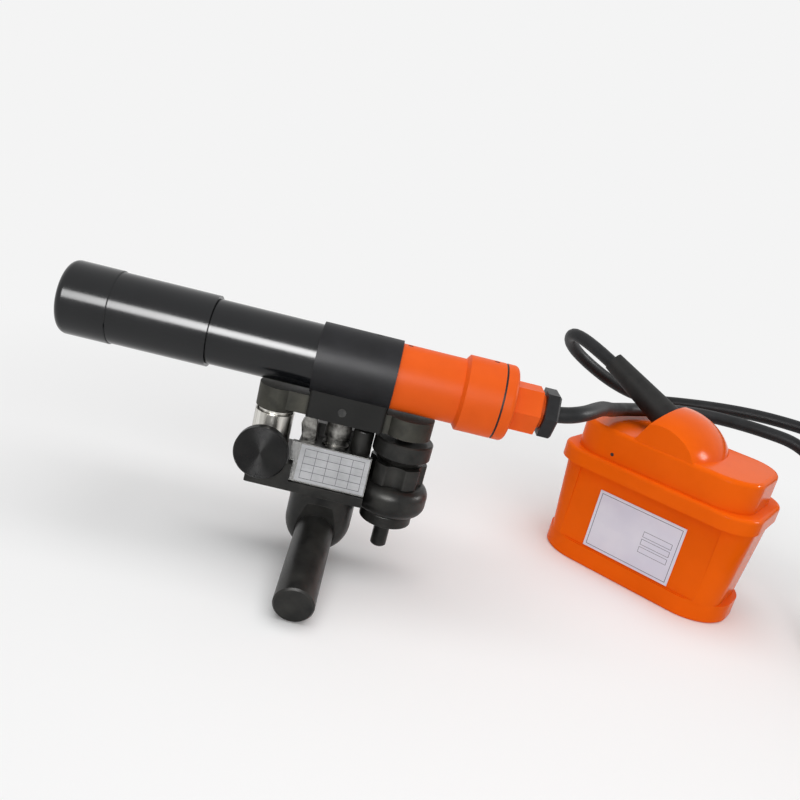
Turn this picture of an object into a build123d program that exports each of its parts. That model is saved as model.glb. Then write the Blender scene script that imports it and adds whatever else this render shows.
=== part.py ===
from build123d import *
from math import acos, cos, hypot, pi, radians, sin, sqrt, tan
import os

os.makedirs("parts", exist_ok=True)

# Sizes in mm. X runs along the laser tube towards its cable end, Y away from
# the viewer and Z up. The origin is where the mounting rod seats on the ball.

# Fits
run_fit = 0.05          # radial, for a shaft that turns or slides in its bore
gap = 0.3               # between bodies that move past each other

# Mounting rod and turning boss
rod_d = 28.0
rod_length = 82.0
rod_cant = 10.0         # degrees below level
rod_chamfer = 1.2
rod_spigot_d = 16.0
rod_spigot_length = 14.0
rod_seat = 19.0         # ball centre to rod seat
ball_r = 24.4
boss_height = 27.7      # ball centre to the top face of the boss
spindle_d = 20.0
spindle_height = 17.3
journal_d = 12.0
journal_height = 8.3
turn_y = rod_seat * cos(radians(rod_cant))
ball_z = rod_seat * sin(radians(rod_cant))
boss_top = ball_z + boss_height
journal_foot = boss_top + spindle_height
journal_top = journal_foot + journal_height

# Spindle retainer
washer_d = 17.0
washer_thickness = 1.7
retainer_head_d = 9.0
retainer_head_height = 3.4
retainer_shank_d = 5.0
retainer_shank_length = 10.0

# Swivel casting
bar_thickness = 7.0
bar_front = 29.0        # in front of the turning axis
bar_back = 20.0
block_left = 57.0
block_right = 26.0
block_height = 20.0     # above the underside of the bar
pedestal_d = 33.0
lug_r = 10.0
lug_gap = 0.6           # between lugs and spring tower
deck_height = 31.0
deck_back = 18.0
deck_left = 26.0
deck_right = 26.5
rib_thickness = 6.0
rib_height = 10.0
rib_left = 18.0
wall_left = 29.5
wall_right = 28.5
wall_height = 32.5
wall_top_front = 15.0
wall_foot_front = 25.5
wall_top_width = 4.0
label_left = 22.7
label_right = 27.7
bar_z = boss_top + gap
deck_z = bar_z + deck_height
block_z = bar_z + block_height
spring_seat_rise = 38.0
seat_z = bar_z + spring_seat_rise
ear_r = 27.0
ear_thickness = 23.0
ear_drop = 7.0          # below the underside of the bar
ear_round = 8.5
casting_round = 2.0

# Tangent arm inside the casting
arm_ring_d = 30.0
arm_ring_height = 10.0
tangent_width = 11.0
tangent_end_length = 12.0
tangent_play = 3.6      # room each side of the tangent arm
tangent_top_wall = 3.0
screw_reach = 48.0      # turning axis to azimuth screw
azimuth_screw_rise = 26.2
azimuth_screw_z = bar_z + azimuth_screw_rise

# Azimuth knob and screw
knob_d = 38.0
knob_thickness = 8.0
knob_gap = 0.5
knob_chamfer = 1.0
azimuth_screw_d = 8.0
screw_knob_depth = 5.0
screw_tail = 4.5
retaining_ring_d = 14.0
retaining_ring_thickness = 3.7

# Posts on the deck
post_d = 19.0
post_foot_d = 15.1
post_foot_height = 7.4
post_flange_d = 19.6
post_flange_thickness = 2.0
tongue_width = 10.4
tongue_thickness = 8.6
pivot_height = 30.5     # deck to trunnion pin
stop_height = 20.4
stop_left_x = -19.0
stop_left_width = 10.6
stop_left_depth = 12.0
stop_left_lean = 2.8    # top to the left of the foot
stop_left_corner = 3.4  # sloping corner at the top left
stop_left_corner_height = 7.7
stop_right_x = 18.5
stop_right_d = 15.2
stop_right_height = 18.1
stop_right_dome = 2.0
stop_spigot_d = 7.0
stop_spigot_length = 6.0
pivot_z = deck_z + pivot_height

# Laser tube, from the collar outwards
tube_drop = 31.5        # tube axis above the trunnion pin
tube_z = pivot_z + tube_drop
collar_left = -26.0
collar_right = 31.0
collar_d = 51.5
tube_d = 46.9
tube_bore_d = 40.8
tube_front = -101.0
neck_d = 43.8
neck_bore_d = 39.0
neck_length = 45.0
spigot_d = 42.8
spigot_length = 12.0
barrel_d = 51.2
barrel_front = -170.0
seam = 0.3
ring_d = 52.7
ring_edge = 0.5
ring_front = -206.0
ring_bore_d = 40.0
ring_round = 5.5
ring_spigot_length = 4.0
window_d = 42.0
window_thickness = 3.0

# Focusing lens cell
cell_flange_front = -162.0
cell_flange_length = 11.0
cell_sleeve_length = 20.0
cell_bore_d = 33.0
cell_lip_d = 30.0
lens_seat = 7.0
lens_edge = 4.0
lens_bulge = 2.0

# Laser module and driver board
module_d = 19.0
module_front = -60.0
module_length = 75.0
module_ring_width = 6.0
module_ring_1 = 8.0     # behind the front of the module
module_ring_2 = 62.0
board_front = 48.0
board_length = 44.0
board_thickness = 1.6
board_drop = 4.0
board_gap = 0.3
chip_length = 12.0
chip_width = 10.0
chip_height = 5.0

# Rear housing, cap and cable gland
housing_d = 47.7
housing_bore_d = 41.2
flare_start = 77.0
flare_end = 79.5
flare_d = 55.0
flare_bore_d = 47.0
housing_end = 105.0
cap_spigot_length = 9.0
seal_width = 1.4
seal_d = 54.2
seal_core_d = 51.0
cap_length = 8.6
cap_round = 3.5
gland_thread_d = 18.0
gland_thread_length = 13.0
gland_corner_d = 36.6
gland_length = 20.0
gland_neck_d = 24.0
gland_neck_length = 6.0
gland_bore_d = 16.0
nut_corner_d = 36.8
nut_length = 10.0
nut_wall = 7.0
nut_chamfer = 1.5
gland_step = 3.0        # free neck between gland body and nut
seal_gap = 0.3
seal_start = 3.0
set_screw_d = 4.0
set_screw_sink = 0.4
collar_screw_x = 13.0
housing_screw_x = 36.0
cap_screw_x = 98.0

# Cradle under the tube
arm_thickness = 14.2
arm_top_drop = 26.0     # below the tube axis
arm_width = 24.0
right_pad_r = 18.0
left_pad_r = 14.5
left_pad_extra = 2.8
foot_left = -25.0
foot_right = 30.5
foot_width = 32.0
foot_rise = 8.0
foot_round = 2.0
slot_play_x = 1.3
pin_d = 6.0
pin_proud = 0.3
collar_bolt_1 = -15.5
collar_bolt_2 = 20.5
collar_bolt_d = 4.0
collar_bolt_head_d = 7.0
collar_bolt_head = 4.0
collar_bolt_bite = 1.4
arm_z = tube_z - arm_top_drop
arm_under = arm_z - arm_thickness
left_under = arm_under - left_pad_extra

# Counter spring
cup_d = 24.0
cup_gap = 3.2           # between cup and its seat, for the tilt
cup_roof = 1.5
cup_bore_d = 20.0
cup_spigot_d = 12.0
cup_spigot_length = 10.0
spring_wire_d = 2.0
spring_mean_d = 14.6
spring_turns = 2.5
guide_d = 10.0
guide_height = 7.0
tower_d = 28.4
tower_bore_d = 23.0
tower_top_bore_d = 26.4
tower_gap = 3.1         # under the cradle pad, for the tilt
tower_sink = 3.0
tower_top = left_under - tower_gap
cup_z = seat_z + cup_gap

# Elevation screw, handwheel and lock ring
jack_x = 48.2
jack_d = 12.0
jack_dome = 3.0
jack_tail = 22.0        # below the retaining collar
wheel_gap = 3.4         # under the cradle pad, for the tilt
wheel_d = 43.2
wheel_rim = 11.9
wheel_bevel = 5.5
wheel_foot_d = 33.0
wheel_chamfer = 1.0
sleeve_d = 18.0
lock_gap = 0.5
lock_d = 42.4
lock_lobes = 5
lock_phase = -93.0      # degrees, first notch
lock_notch_d = 20.0
lock_notch_out = 27.0
lock_bore_play = 0.4
lock_round = 2.0
collar_nut_d = 39.0
collar_nut_thickness = 8.7
wheel_top = arm_under - wheel_gap
wheel_under = wheel_top - wheel_rim - wheel_bevel
ear_top = bar_z - ear_drop + ear_thickness
ear_under = bar_z - ear_drop
collar_nut_z = ear_under - gap - collar_nut_thickness

# Battery box, standing on the floor beside the rod's tip
floor_z = -(rod_length * sin(radians(rod_cant)) + rod_d / 2 * cos(radians(rod_cant)))
box_x = 285.7
box_y = 124.2
box_turn = -36.5        # degrees about Z
box_foot_length = 168.7
box_depth = 82.8
box_foot_depth = 85.7
box_foot_corner = 37.0
box_foot_height = 16.5
box_waist_length = 157.1
box_body_length = 168.8
box_corner = 23.0
box_body_height = 70.8
box_flange_length = 174.1
box_flange_depth = 107.5
box_flange_corner = 28.6
box_flange_height = 13.2
box_flange_round = 3.0
box_wall = 5.0
box_floor = 4.0
panel_length = 126.0
panel_height = 65.0
panel_depth = 1.0
panel_rise = 1.0        # above the foot
plate_x = -0.5
plate_length = 78.0
plate_height = 53.0
plate_thickness = 0.8
cavity_length = box_waist_length - 2 * box_wall
cavity_depth = box_depth - 2 * box_wall
cavity_corner = box_corner - box_wall
gasket_thickness = 0.6
gasket_inset = 0.1
lid_land_length = 4.2   # beyond the cavity at each end
lid_land_depth = 11.6
lid_length = cavity_length + 2 * lid_land_length
lid_depth = cavity_depth + 2 * lid_land_depth
lid_corner = 28.8
lid_height = 25.6
lid_wall = 5.0
lid_round = 4.0
lid_plug = 6.0
hood_x = -21.0          # centre of the hood's mouth along the box
hood_rise = 7.9         # above the lid's top
hood_slope = 26.0
hood_long = 40.7        # half sizes of the hood's egg shape
hood_wide = 64.8
hood_high = 27.4
hood_ahead = 25.0       # mouth to the egg's centre
hood_margin = 1.0       # inside the lid's outline
boot_seat = 12.0
boot_rise = 7.5         # above the hood's axis
boot_lead = 45.0        # straight cable beyond the boot
boot_root_d = 25.3
boot_tip_d = 17.7
boot_length = 70.0
lid_screw_inset = 40.25  # from the end of the case
lid_screw_x = lid_screw_inset - box_waist_length / 2
lid_screw_d = 3.2
lid_screw_length = 6.0
lid_screw_sink = 0.6
lid_screw_rise = 5.2
cell_height = 61.0
cell_columns = 4
cell_rows = 2
cell_room = 2.6
cell_pitch_long = cavity_length / cell_columns
cell_pitch_deep = cavity_depth / cell_rows
cell_d = min(cell_pitch_long, cell_pitch_deep) - cell_room
body_top = box_foot_height + box_body_height
flange_top = body_top + box_flange_height
lid_base = flange_top + gasket_thickness
lid_top = lid_base + lid_height

# Cable
cable_d = 12.0
coil_x = 488.0
coil_y = -19.0
coil_r = 72.0
coil_pitch = 12.6
coil_turns = 1.5        # in each of the two layers
coil_lift = 1.4
gland_run = 26.0        # straight cable behind the gland nut
laser_leg_run = 40.0    # from each leg's last corner to the coil
battery_leg_run = 36.0
tie_width = 8.0
tie_thickness = 1.0
tie_play = 0.4


def across(x):
    """A plane across the laser tube, facing the cable end."""
    return Plane(origin=(x, turn_y, tube_z), x_dir=(0, 1, 0), z_dir=(1, 0, 0))


def level(z, x=0.0):
    """A level plane on the mount, its origin in line with the turning axis."""
    return Plane(origin=(x, turn_y, z))


def facing(ahead, x, z):
    """An upright plane that faces the viewer."""
    return Plane(origin=(x, turn_y - ahead, z), x_dir=(1, 0, 0), z_dir=(0, -1, 0))


def on_box(height, x=0.0, y=0.0):
    """A level plane on the battery box, x along its front."""
    c, s = cos(radians(box_turn)), sin(radians(box_turn))
    spot = (box_x + c * x - s * y, box_y + s * x + c * y, floor_z + height)
    return Plane(origin=spot, x_dir=(c, s, 0), z_dir=(0, 0, 1))


def unit(v):
    return v * (1 / v.length)


def biarc(p0, t0, p1, t1):
    """Two arcs from p0 to p1 that keep both directions."""
    v = p1 - p0
    t = t0 + t1
    k = 2 * (1 - t0.dot(t1))
    d = (-v.dot(t) + sqrt(v.dot(t) ** 2 + k * v.dot(v))) / k
    q0 = p0 + t0 * d
    q1 = p1 - t1 * d
    m = (q0 + q1) * 0.5
    TangentArc(p0, m, tangent=t0)
    TangentArc(m, p1, tangent=q1 - q0)


def run_radii(points):
    """The bend at each inner point of a cable's run."""
    radii = []
    for a, b, c in zip(points, points[1:], points[2:]):
        first = Vector(b) - Vector(a)
        second = Vector(c) - Vector(b)
        turn = acos(unit(first).dot(unit(second)))
        radii.append(0.45 * min(first.length, second.length) / tan(turn / 2))
    return radii


# Mounting rod
rod_axis = (0, -cos(radians(rod_cant)), -sin(radians(rod_cant)))
rod_plane = Plane(origin=(0, 0, 0), x_dir=(1, 0, 0), z_dir=rod_axis)
with BuildPart() as mounting_rod:
    with BuildSketch(rod_plane):
        Circle(rod_d / 2)
    extrude(amount=rod_length)
    tip = mounting_rod.faces().sort_by(Axis((0, 0, 0), rod_axis))[-1]
    chamfer(tip.edges(), rod_chamfer)
    with BuildSketch(rod_plane):
        Circle(rod_spigot_d / 2)
    extrude(amount=-rod_spigot_length)

# Turning boss: ball end, cylinder, spindle and journal in one piece
with BuildPart() as turning_boss:
    with Locations((0, turn_y, ball_z)):
        Sphere(ball_r)
    with BuildSketch(level(ball_z)):
        Circle(ball_r)
    extrude(amount=boss_height)
    with BuildSketch(level(boss_top)):
        Circle(spindle_d / 2)
    extrude(amount=spindle_height)
    with BuildSketch(level(journal_foot)):
        Circle(journal_d / 2)
    extrude(amount=journal_height)
    with BuildSketch(rod_plane):
        Circle(ball_r)
    extrude(amount=ball_r, mode=Mode.SUBTRACT)
    with BuildSketch(rod_plane):
        Circle(rod_spigot_d / 2)
    extrude(amount=-rod_spigot_length, mode=Mode.SUBTRACT)
    with BuildSketch(level(journal_top)):
        Circle(retainer_shank_d / 2)
    extrude(amount=-retainer_shank_length, mode=Mode.SUBTRACT)

# Washer and screw that hold the spindle in the casting
with BuildPart() as retainer_washer:
    with BuildSketch(level(journal_top)):
        Circle(washer_d / 2)
        Circle(retainer_shank_d / 2, mode=Mode.SUBTRACT)
    extrude(amount=washer_thickness)

with BuildPart() as retainer_screw:
    with BuildSketch(level(journal_top + washer_thickness)):
        Circle(retainer_head_d / 2)
    extrude(amount=retainer_head_height)
    with BuildSketch(level(journal_top + washer_thickness)):
        Circle(retainer_shank_d / 2)
    extrude(amount=-(washer_thickness + retainer_shank_length))

# Tangent arm on the spindle, moved by the azimuth screw
arm_ring_z = journal_foot - arm_ring_height
tangent_end_top = seat_z - tangent_top_wall - gap
with BuildPart() as tangent_arm:
    with BuildSketch(level(arm_ring_z)):
        Circle(arm_ring_d / 2)
        with Locations((-screw_reach / 2, 0)):
            Rectangle(screw_reach, tangent_width)
        Circle(spindle_d / 2, mode=Mode.SUBTRACT)
    extrude(amount=arm_ring_height)
    with BuildSketch(level(arm_ring_z, -screw_reach)):
        Rectangle(tangent_end_length, tangent_width)
    extrude(amount=tangent_end_top - arm_ring_z)
    with BuildSketch(facing(tangent_width, -screw_reach, azimuth_screw_z)):
        Circle(azimuth_screw_d / 2 + 2 * gap)
    extrude(amount=-2 * tangent_width, mode=Mode.SUBTRACT)

# Swivel casting: bar, block, deck with sloping wall and screw ear
with BuildPart() as swivel_bar:
    with BuildSketch(level(bar_z)):
        with Locations(((jack_x - block_left) / 2, (bar_back - bar_front) / 2)):
            Rectangle(block_left + jack_x, bar_front + bar_back)
        with Locations((jack_x, (bar_back - bar_front) / 2 - bar_front)):
            Rectangle(2 * (jack_x - wall_right), bar_front + bar_back, mode=Mode.SUBTRACT)
    extrude(amount=bar_thickness)
    with BuildSketch(level(bar_z)):
        with Locations((-(block_left + block_right) / 2, (bar_back - bar_front) / 2)):
            Rectangle(block_left - block_right, bar_front + bar_back)
    extrude(amount=block_height)
    corners = swivel_bar.edges().filter_by(Axis.Z).sort_by(Axis.X)[:2]
    fillet(corners, casting_round)
    with BuildSketch(level(bar_z, -screw_reach)):
        Circle(pedestal_d / 2)
    extrude(amount=block_height)
    for ahead, thickness in (
        (bar_front, bar_front - tower_d / 2 - lug_gap),
        (-tower_d / 2 - lug_gap, bar_back - tower_d / 2 - lug_gap),
    ):
        with BuildSketch(facing(ahead, -screw_reach, azimuth_screw_z)):
            Circle(lug_r)
            with Locations((0, (block_z - azimuth_screw_z) / 2)):
                Rectangle(2 * lug_r, azimuth_screw_z - block_z)
        extrude(amount=-thickness)
    with BuildSketch(Plane.YZ.offset(-deck_left)):
        with Locations((turn_y + (deck_back - wall_top_front) / 2, bar_z + deck_height / 2)):
            Rectangle(deck_back + wall_top_front, deck_height)
    extrude(amount=deck_left + deck_right)
    with BuildSketch(Plane.YZ.offset(-rib_left)):
        with Locations((turn_y + deck_back - rib_thickness / 2, deck_z + rib_height / 2)):
            Rectangle(rib_thickness, rib_height)
    extrude(amount=rib_left + deck_right)
    with BuildSketch(Plane.YZ.offset(-wall_left)):
        with BuildLine():
            Polyline(
                (turn_y - wall_foot_front, bar_z + bar_thickness),
                (turn_y - wall_top_front, bar_z + wall_height),
                (turn_y - wall_top_front + wall_top_width, bar_z + wall_height),
                (turn_y - wall_top_front + wall_top_width, bar_z + bar_thickness),
                close=True,
            )
        make_face()
    extrude(amount=wall_left + wall_right)
    with BuildSketch(facing(0, jack_x, ear_under)):
        with Locations((ear_r / 2, ear_thickness / 2)):
            Rectangle(ear_r, ear_thickness)
        fillet(vertices().sort_by(Axis.X)[-2:], ear_round)
    revolve(axis=Axis((jack_x, turn_y, 0), (0, 0, 1)))
    with BuildSketch(level(ear_under)):
        Circle(ball_r + 2 * gap)
    extrude(amount=bar_z - ear_under, mode=Mode.SUBTRACT)
    with BuildSketch(level(bar_z)):
        Circle(arm_ring_d / 2 + 2 * gap)
        with Locations((-screw_reach / 2, 0)):
            Rectangle(screw_reach, tangent_width + 2 * tangent_play)
    extrude(amount=journal_foot + gap - bar_z, mode=Mode.SUBTRACT)
    with BuildSketch(level(bar_z, -screw_reach)):
        Rectangle(tangent_end_length + 8 * gap, tangent_width + 2 * tangent_play)
    extrude(amount=block_height, mode=Mode.SUBTRACT)
    with BuildSketch(level(block_z, -screw_reach)):
        Circle(tower_d / 2)
    extrude(amount=-tower_sink, mode=Mode.SUBTRACT)
    with BuildSketch(level(bar_z)):
        Circle(journal_d / 2 + run_fit)
    extrude(amount=deck_height, mode=Mode.SUBTRACT)
    with BuildSketch(level(journal_top - gap)):
        Circle(washer_d / 2 + gap)
    extrude(amount=deck_z - journal_top + gap, mode=Mode.SUBTRACT)
    with BuildSketch(facing(bar_front, -screw_reach, azimuth_screw_z)):
        Circle(azimuth_screw_d / 2 + run_fit)
    extrude(amount=-(bar_front + bar_back), mode=Mode.SUBTRACT)
    with BuildSketch(level(ear_under, jack_x)):
        Circle(sleeve_d / 2 + run_fit)
    extrude(amount=ear_thickness, mode=Mode.SUBTRACT)
    with BuildSketch(level(deck_z)):
        with Locations((stop_left_x, 0), (stop_right_x, 0)):
            Circle(stop_spigot_d / 2)
    extrude(amount=-stop_spigot_length, mode=Mode.SUBTRACT)

# Name plate on the sloping wall, left blank
wall_rise = wall_height - bar_thickness
wall_run = wall_foot_front - wall_top_front
wall_slant = hypot(wall_rise, wall_run)
wall_mid = (wall_top_front + wall_foot_front) / 2
wall_plane = Plane(
    origin=((label_right - label_left) / 2, turn_y - wall_mid, bar_z + bar_thickness + wall_rise / 2),
    x_dir=(1, 0, 0),
    z_dir=(0, -wall_rise, wall_run),
)
plate_margin = 0.8
with BuildPart() as nameplate:
    with BuildSketch(wall_plane):
        Rectangle(label_left + label_right, wall_slant - 2 * plate_margin)
    extrude(amount=plate_thickness)

# Pivot post: flange on the deck, foot, body and tongue for the trunnion pin
with BuildPart() as pivot_post:
    with BuildSketch(level(deck_z)):
        Circle(post_flange_d / 2)
    extrude(amount=post_flange_thickness)
    with BuildSketch(level(deck_z)):
        Circle(post_foot_d / 2)
    extrude(amount=post_foot_height)
    with BuildSketch(level(deck_z + post_foot_height)):
        Circle(post_d / 2)
    extrude(amount=stop_height - post_foot_height)
    with BuildSketch(facing(tongue_thickness / 2, 0, pivot_z)):
        Circle(tongue_width / 2)
        with Locations((0, (stop_height - pivot_height) / 2)):
            Rectangle(tongue_width, pivot_height - stop_height)
        Circle(pin_d / 2 + run_fit, mode=Mode.SUBTRACT)
    extrude(amount=-tongue_thickness)

# Stop posts that limit the tilt
with BuildPart() as stop_post_left:
    with BuildSketch(facing(stop_left_depth / 2, stop_left_x, deck_z)):
        with BuildLine():
            Polyline(
                (-stop_left_width / 2, 0),
                (stop_left_width / 2, 0),
                (stop_left_width / 2 - stop_left_lean, stop_height),
                (stop_left_corner - stop_left_width / 2 - stop_left_lean, stop_height),
                (-stop_left_width / 2 - stop_left_lean, stop_height - stop_left_corner_height),
                close=True,
            )
        make_face()
    extrude(amount=-stop_left_depth)
    upright = stop_post_left.edges().filter_by(lambda e: abs(e.tangent_at(0.5).Z) > 0.6)
    fillet(upright, 1)
    with BuildSketch(level(deck_z, stop_left_x)):
        Circle(stop_spigot_d / 2)
    extrude(amount=-stop_spigot_length)

with BuildPart() as stop_post_right:
    with BuildSketch(level(deck_z, stop_right_x)):
        Circle(stop_right_d / 2)
    extrude(amount=stop_right_height)
    fillet(stop_post_right.edges().sort_by(Axis.Z)[-1], stop_right_dome)
    with BuildSketch(level(deck_z, stop_right_x)):
        Circle(stop_spigot_d / 2)
    extrude(amount=-stop_spigot_length)

# Azimuth knob, its screw and the ring that keeps the screw in the block
knob_back = bar_front + knob_gap
with BuildPart() as azimuth_knob:
    with BuildSketch(facing(knob_back, -screw_reach, azimuth_screw_z)):
        Circle(knob_d / 2)
    extrude(amount=knob_thickness)
    chamfer(azimuth_knob.edges().filter_by(GeomType.CIRCLE), knob_chamfer)
    with BuildSketch(facing(knob_back, -screw_reach, azimuth_screw_z)):
        Circle(azimuth_screw_d / 2)
    extrude(amount=screw_knob_depth, mode=Mode.SUBTRACT)

screw_back = -bar_back - screw_tail
with BuildPart() as azimuth_screw:
    with BuildSketch(facing(screw_back, -screw_reach, azimuth_screw_z)):
        Circle(azimuth_screw_d / 2)
    extrude(amount=knob_back + screw_knob_depth - screw_back)

with BuildPart() as screw_retainer:
    with BuildSketch(facing(-bar_back - gap, -screw_reach, azimuth_screw_z)):
        Circle(retaining_ring_d / 2)
        Circle(azimuth_screw_d / 2, mode=Mode.SUBTRACT)
    extrude(amount=-retaining_ring_thickness)

# Jack screw with a domed head under the cradle
jack_top = arm_under - gap
jack_foot = collar_nut_z - jack_tail
with BuildPart() as jack_screw:
    with BuildSketch(level(jack_foot, jack_x)):
        Circle(jack_d / 2)
    extrude(amount=jack_top - jack_foot)
    fillet(jack_screw.edges().sort_by(Axis.Z)[-1], jack_dome)
    chamfer(jack_screw.edges().sort_by(Axis.Z)[0], 1)

# Elevation handwheel: bevelled wheel on a sleeve nut
with BuildPart() as elevation_handwheel:
    with BuildSketch(level(wheel_top - wheel_rim, jack_x)):
        Circle(wheel_d / 2)
    extrude(amount=wheel_rim)
    chamfer(elevation_handwheel.edges().sort_by(Axis.Z)[-1], wheel_chamfer)
    with BuildSketch(level(wheel_top - wheel_rim, jack_x)):
        Circle(wheel_d / 2)
    with BuildSketch(level(wheel_under, jack_x)):
        Circle(wheel_foot_d / 2)
    loft()
    with BuildSketch(level(collar_nut_z, jack_x)):
        Circle(sleeve_d / 2)
    extrude(amount=wheel_under - collar_nut_z)
    with BuildSketch(level(collar_nut_z, jack_x)):
        Circle(jack_d / 2 + run_fit)
    extrude(amount=wheel_top - collar_nut_z, mode=Mode.SUBTRACT)

# Lobed lock ring between handwheel and ear
lock_foot = ear_top + gap
lock_top = wheel_under - lock_gap
with BuildPart() as lock_ring:
    with BuildSketch(level(lock_foot, jack_x)):
        Circle(lock_d / 2)
        with PolarLocations(lock_notch_out, lock_lobes, start_angle=lock_phase):
            Circle(lock_notch_d / 2, mode=Mode.SUBTRACT)
        Circle(sleeve_d / 2 + lock_bore_play, mode=Mode.SUBTRACT)
    extrude(amount=lock_top - lock_foot)
    outer = lock_ring.edges().filter_by(lambda e: abs(e.tangent_at(0.5).Z) > 0.9)
    fillet(outer, lock_round)

# Collar nut that keeps the handwheel in the ear
with BuildPart() as retaining_collar:
    with BuildSketch(level(collar_nut_z, jack_x)):
        Circle(collar_nut_d / 2)
        Circle(sleeve_d / 2, mode=Mode.SUBTRACT)
    extrude(amount=collar_nut_thickness)
    rims = retaining_collar.edges().filter_by(GeomType.CIRCLE).sort_by(SortBy.RADIUS)[-2:]
    fillet(rims, 1.2)

# Cradle: arm with two pads, saddle foot and clevis slot
with BuildPart() as cradle_arm:
    with BuildSketch(level(arm_under)):
        with Locations((jack_x, 0)):
            Circle(right_pad_r)
        with Locations((-screw_reach, 0)):
            Circle(left_pad_r)
        with Locations(((jack_x - screw_reach) / 2, 0)):
            Rectangle(jack_x + screw_reach, arm_width)
    extrude(amount=arm_thickness)
    with BuildSketch(level(left_under, -screw_reach)):
        Circle(left_pad_r)
    extrude(amount=left_pad_extra)
    with BuildSketch(level(arm_under)):
        with Locations(((foot_left + foot_right) / 2, 0)):
            RectangleRounded(foot_right - foot_left, foot_width, foot_round)
    extrude(amount=arm_thickness + foot_rise)
    with BuildSketch(across(collar_left)):
        Circle(collar_d / 2)
    extrude(amount=collar_right - collar_left, mode=Mode.SUBTRACT)
    with BuildSketch(level(arm_under)):
        Rectangle(tongue_width + 2 * slot_play_x, tongue_thickness + 2 * gap)
    extrude(amount=arm_thickness, mode=Mode.SUBTRACT)
    with BuildSketch(facing(foot_width, 0, pivot_z)):
        Circle(pin_d / 2)
    extrude(amount=-2 * foot_width, mode=Mode.SUBTRACT)
    with BuildSketch(level(left_under, -screw_reach)):
        Circle(cup_spigot_d / 2)
    extrude(amount=cup_spigot_length, mode=Mode.SUBTRACT)
    with BuildSketch(level(arm_under)):
        with Locations((collar_bolt_1, 0), (collar_bolt_2, 0)):
            Circle(collar_bolt_head_d / 2)
    extrude(amount=collar_bolt_head, mode=Mode.SUBTRACT)
    with BuildSketch(level(arm_under)):
        with Locations((collar_bolt_1, 0), (collar_bolt_2, 0)):
            Circle(collar_bolt_d / 2)
    extrude(amount=arm_thickness + foot_rise, mode=Mode.SUBTRACT)

# Trunnion pin through foot and tongue
pin_front = foot_width / 2 + pin_proud
with BuildPart() as trunnion_pin:
    with BuildSketch(facing(pin_front, 0, pivot_z)):
        Circle(pin_d / 2)
    extrude(amount=-(pin_front + foot_width / 2))

# Two bolts that draw the collar into the saddle
bolt_top = tube_z - collar_d / 2 + collar_bolt_bite
with BuildPart() as collar_bolts:
    with BuildSketch(level(arm_under)):
        with Locations((collar_bolt_1, 0), (collar_bolt_2, 0)):
            Circle(collar_bolt_head_d / 2)
    extrude(amount=collar_bolt_head)
    with BuildSketch(level(arm_under)):
        with Locations((collar_bolt_1, 0), (collar_bolt_2, 0)):
            Circle(collar_bolt_d / 2)
    extrude(amount=bolt_top - arm_under)

# Spring tower: bright barrel on the casting, with room for the tangent arm's end
with BuildPart() as spring_tower:
    with BuildSketch(level(block_z - tower_sink, -screw_reach)):
        Circle(tower_d / 2)
    extrude(amount=tower_top - block_z + tower_sink)
    with BuildSketch(level(block_z - tower_sink, -screw_reach)):
        Circle(tower_bore_d / 2)
    extrude(amount=seat_z - tangent_top_wall - block_z + tower_sink, mode=Mode.SUBTRACT)
    with BuildSketch(level(seat_z, -screw_reach)):
        Circle(tower_top_bore_d / 2)
    extrude(amount=tower_top - seat_z, mode=Mode.SUBTRACT)
    with BuildSketch(level(seat_z, -screw_reach)):
        Circle(guide_d / 2)
    extrude(amount=guide_height)
    with BuildSketch(facing(tower_d, -screw_reach, azimuth_screw_z)):
        Circle(azimuth_screw_d / 2 + gap)
    extrude(amount=-2 * tower_d, mode=Mode.SUBTRACT)

# Spring cup pressed into the left pad
with BuildPart() as spring_cup:
    with BuildSketch(level(cup_z, -screw_reach)):
        Circle(cup_d / 2)
    extrude(amount=left_under - cup_z)
    with BuildSketch(level(cup_z, -screw_reach)):
        Circle(cup_bore_d / 2)
    extrude(amount=left_under - cup_roof - cup_z, mode=Mode.SUBTRACT)
    with BuildSketch(level(left_under, -screw_reach)):
        Circle(cup_spigot_d / 2)
    extrude(amount=cup_spigot_length)

# Counter spring: one wire from the tower's seat up into the cup
spring_low = seat_z + spring_wire_d / 2 + run_fit
spring_high = left_under - cup_roof - gap - spring_wire_d / 2
spring_rise = spring_high - spring_low


def spring_spot(turn):
    a = 2 * pi * turn
    r = spring_mean_d / 2
    z = spring_low + spring_rise * turn / spring_turns
    spot = Vector(r * cos(a) - screw_reach, r * sin(a) + turn_y, z)
    way = Vector(-2 * pi * r * sin(a), 2 * pi * r * cos(a), spring_rise / spring_turns)
    return spot, unit(way)


with BuildPart() as pressure_spring:
    with BuildLine() as spring_path:
        for i in range(round(4 * spring_turns)):
            start, start_way = spring_spot(i / 4)
            end, end_way = spring_spot((i + 1) / 4)
            biarc(start, start_way, end, end_way)
    with BuildSketch(Plane(origin=spring_spot(0)[0], z_dir=spring_spot(0)[1])):
        Circle(spring_wire_d / 2)
    sweep(path=spring_path.wires()[0])

# Collar round the middle tube
with BuildPart() as tube_collar:
    with BuildSketch(across(collar_left)):
        Circle(collar_d / 2)
        Circle(tube_d / 2, mode=Mode.SUBTRACT)
    extrude(amount=collar_right - collar_left)
    with BuildSketch(level(tube_z, collar_screw_x)):
        Circle(set_screw_d / 2)
    extrude(amount=collar_d, mode=Mode.SUBTRACT)
    with BuildSketch(level(tube_z - collar_d / 2)):
        with Locations((collar_bolt_1, 0), (collar_bolt_2, 0)):
            Circle(collar_bolt_d / 2)
    extrude(amount=collar_bolt_bite, mode=Mode.SUBTRACT)

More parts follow.
